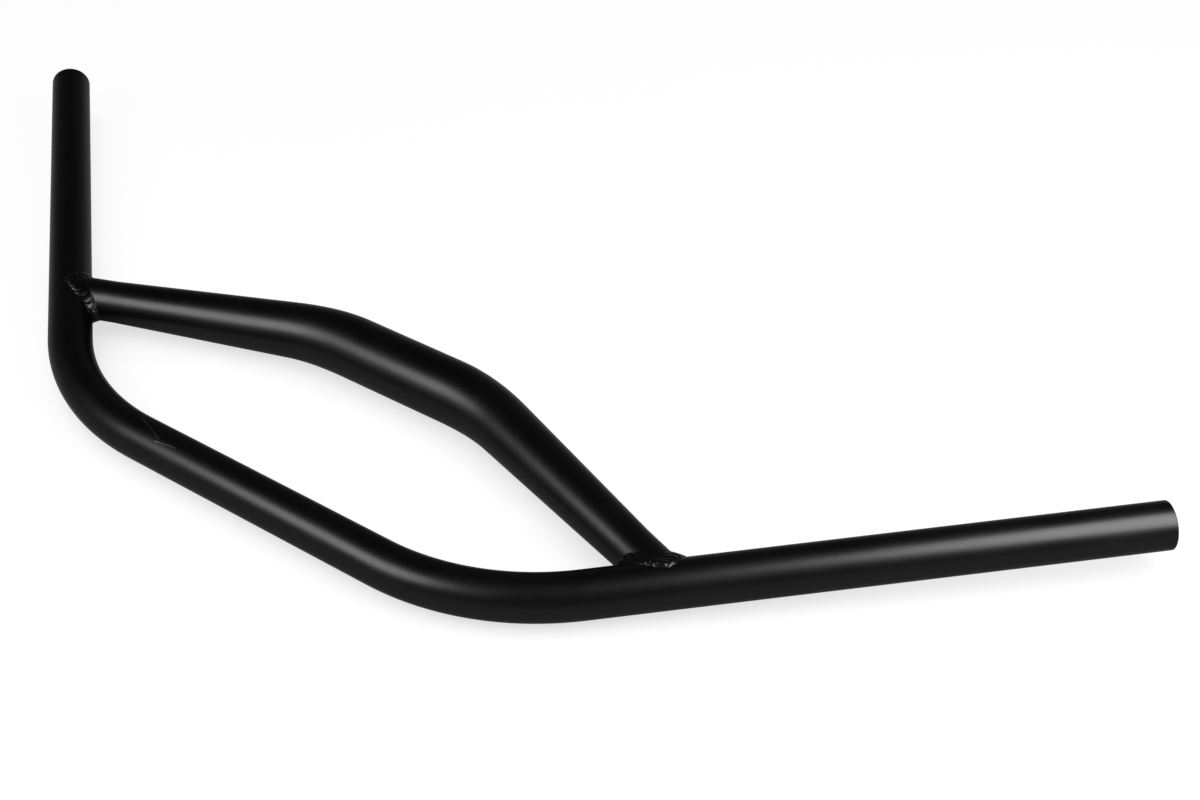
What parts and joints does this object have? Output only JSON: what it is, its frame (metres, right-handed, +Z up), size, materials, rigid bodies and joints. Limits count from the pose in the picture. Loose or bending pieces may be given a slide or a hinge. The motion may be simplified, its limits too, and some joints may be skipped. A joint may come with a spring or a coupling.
{
  "type": "loop handlebar",
  "caption": "Flat swept-back loop handlebar: a bent tube runs from grip to grip, and a tapered crossbar welded across its back carries the stem clamp.",
  "frame": {"origin": "middle of the stem clamp, on the crossbar's axis", "axes": "+X to the rider's right along the stem clamp, +Y forwards to the front tube, +Z up, square to the plane of the tubes"},
  "size_m": [0.723, 0.2256, 0.0318],
  "materials": {
    "anodised_tube": "bead-blasted alloy tube, black anodised to a satin sheen",
    "anodised_weld": "rippled weld filler under the same black anodising"
  },
  "bodies": {
    "root": {"loop_tube": "anodised_tube", "crossbar_tube": "anodised_tube", "weld_beads": "anodised_weld"}
  },
  "joints": []
}
